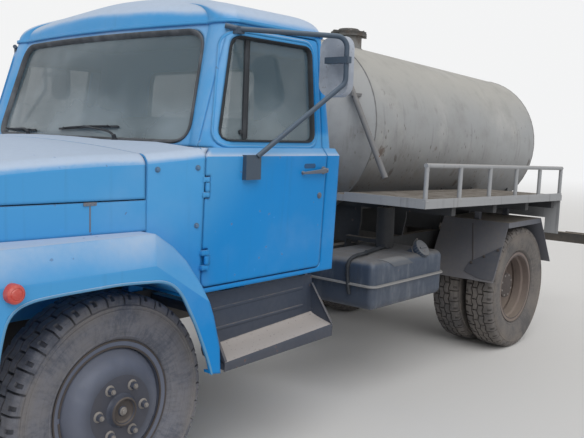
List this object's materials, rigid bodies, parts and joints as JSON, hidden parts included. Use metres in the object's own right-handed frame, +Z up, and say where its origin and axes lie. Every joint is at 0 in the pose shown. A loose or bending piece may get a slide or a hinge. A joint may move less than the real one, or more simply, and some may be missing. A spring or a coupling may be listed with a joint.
{
  "type": "tanker truck",
  "caption": "Bonneted two-axle truck with a round dished-end vacuum tank, side platforms with railings, twin rear wheels, opening doors and hood.",
  "frame": {"origin": "centre of the overall length and width, on the ground", "axes": "+X forward, +Y the truck's left side, +Z up"},
  "size_m": [6.3999, 2.656, 2.4282],
  "materials": {
    "chassis_paint": "dusty matte",
    "bumper_paint": "worn matte",
    "axle_iron": "dusty",
    "spring_steel": "rusty",
    "engine_iron": "oily",
    "exhaust_steel": "rusty",
    "fuel_tank_paint": "worn satin",
    "step_paint": "dusty matte",
    "grille_plastic": "matte",
    "lamp_lens": "gloss",
    "cab_paint": "weathered satin",
    "clear_glass": "dusty",
    "seat_cover": "worn",
    "dash_plastic": "matte",
    "tank_paint": "weathered matte",
    "hatch_steel": "dirty",
    "platform_paint": "weathered matte",
    "railing_paint": "weathered matte",
    "mudguard_paint": "dusty matte",
    "pipe_paint": "weathered matte",
    "mirror_paint": "worn",
    "wheel_paint": "dusty",
    "tyre_rubber": "dusty"
  },
  "bodies": {
    "truck": {"frame_rails": "chassis_paint", "crossmembers": "chassis_paint", "front_bumper": "bumper_paint", "front_axle": "axle_iron", "rear_axle": "axle_iron", "leaf_springs": "spring_steel", "engine": "engine_iron", "propshaft": "spring_steel", "exhaust": "exhaust_steel", "fuel_tank": "fuel_tank_paint", "side_steps": "step_paint", "grille_panel": "grille_plastic", "front_lamps": "lamp_lens", "fender_left": "cab_paint", "fender_right": "cab_paint", "cowl_sides": "cab_paint", "cab_shell": "cab_paint", "cab_roof": "cab_paint", "cab_glass": "clear_glass", "seats": "seat_cover", "dashboard": "dash_plastic", "tank": "tank_paint", "tank_saddles": "chassis_paint", "hatch_neck": "hatch_steel", "platforms": "platform_paint", "railings": "railing_paint", "rear_mudguards": "mudguard_paint", "vacuum_gear": "engine_iron", "pipes": "pipe_paint", "tail_bar": "chassis_paint"},
    "left_door": {"door_left": "cab_paint", "door_glass_left": "clear_glass", "mirror_left": "mirror_paint"},
    "right_door": {"door_right": "cab_paint", "door_glass_right": "clear_glass", "mirror_right": "mirror_paint"},
    "hood_panel": {"hood": "cab_paint"},
    "tank_lid": {"hatch_lid": "hatch_steel"},
    "left_knuckle": {"knuckle_left": "axle_iron"},
    "right_knuckle": {"knuckle_right": "axle_iron"},
    "track_rod": {"tie_rod": "spring_steel"},
    "front_left_wheel": {"wheel_front_left": "wheel_paint", "tyre_front_left": "tyre_rubber"},
    "front_right_wheel": {"wheel_front_right": "wheel_paint", "tyre_front_right": "tyre_rubber"},
    "rear_left_wheels": {"wheels_rear_left": "wheel_paint", "tyres_rear_left": "tyre_rubber"},
    "rear_right_wheels": {"wheels_rear_right": "wheel_paint", "tyres_rear_right": "tyre_rubber"}
  },
  "joints": [
    {"name": "steer_left", "type": "hinge", "parent": "truck", "child": "left_knuckle", "pos_m": [2.22, 0.742, 0.48], "axis": [0, 0, 1], "range_deg": [-33, 33]},
    {"name": "steer_right", "type": "hinge", "parent": "truck", "child": "right_knuckle", "pos_m": [2.22, -0.742, 0.48], "axis": [0, 0, 1], "range_deg": [-33, 33]},
    {"name": "track_rod_pivot", "type": "hinge", "parent": "left_knuckle", "child": "track_rod", "pos_m": [2.01, 0.742, 0.4], "axis": [0, 0, 1], "range_deg": [-33, 33]},
    {"name": "front_left_roll", "type": "hinge", "parent": "left_knuckle", "child": "front_left_wheel", "pos_m": [2.22, 0.85, 0.48], "axis": [0, 1, 0], "continuous": true},
    {"name": "front_right_roll", "type": "hinge", "parent": "right_knuckle", "child": "front_right_wheel", "pos_m": [2.22, -0.85, 0.48], "axis": [0, 1, 0], "continuous": true},
    {"name": "rear_left_roll", "type": "hinge", "parent": "truck", "child": "rear_left_wheels", "pos_m": [-1.55, 0.78, 0.48], "axis": [0, 1, 0], "continuous": true},
    {"name": "rear_right_roll", "type": "hinge", "parent": "truck", "child": "rear_right_wheels", "pos_m": [-1.55, -0.78, 0.48], "axis": [0, 1, 0], "continuous": true},
    {"name": "left_door_hinge", "type": "hinge", "parent": "truck", "child": "left_door", "pos_m": [1.838, 1.078, 1.2], "axis": [0, 0, -1], "range_deg": [0, 65]},
    {"name": "right_door_hinge", "type": "hinge", "parent": "truck", "child": "right_door", "pos_m": [1.838, -1.078, 1.2], "axis": [0, 0, 1], "range_deg": [0, 65]},
    {"name": "hood_hinge", "type": "hinge", "parent": "truck", "child": "hood_panel", "pos_m": [1.915, 0, 1.53], "axis": [0, -1, 0], "range_deg": [0, 48]},
    {"name": "lid_hinge", "type": "hinge", "parent": "truck", "child": "tank_lid", "pos_m": [-0.72, 0, 2.3979], "axis": [0, -1, 0], "range_deg": [0, 100]}
  ],
  "couplings": [
    {"joint": "steer_right", "follows": "steer_left", "ratio": 1},
    {"joint": "track_rod_pivot", "follows": "steer_left", "ratio": -1}
  ]
}
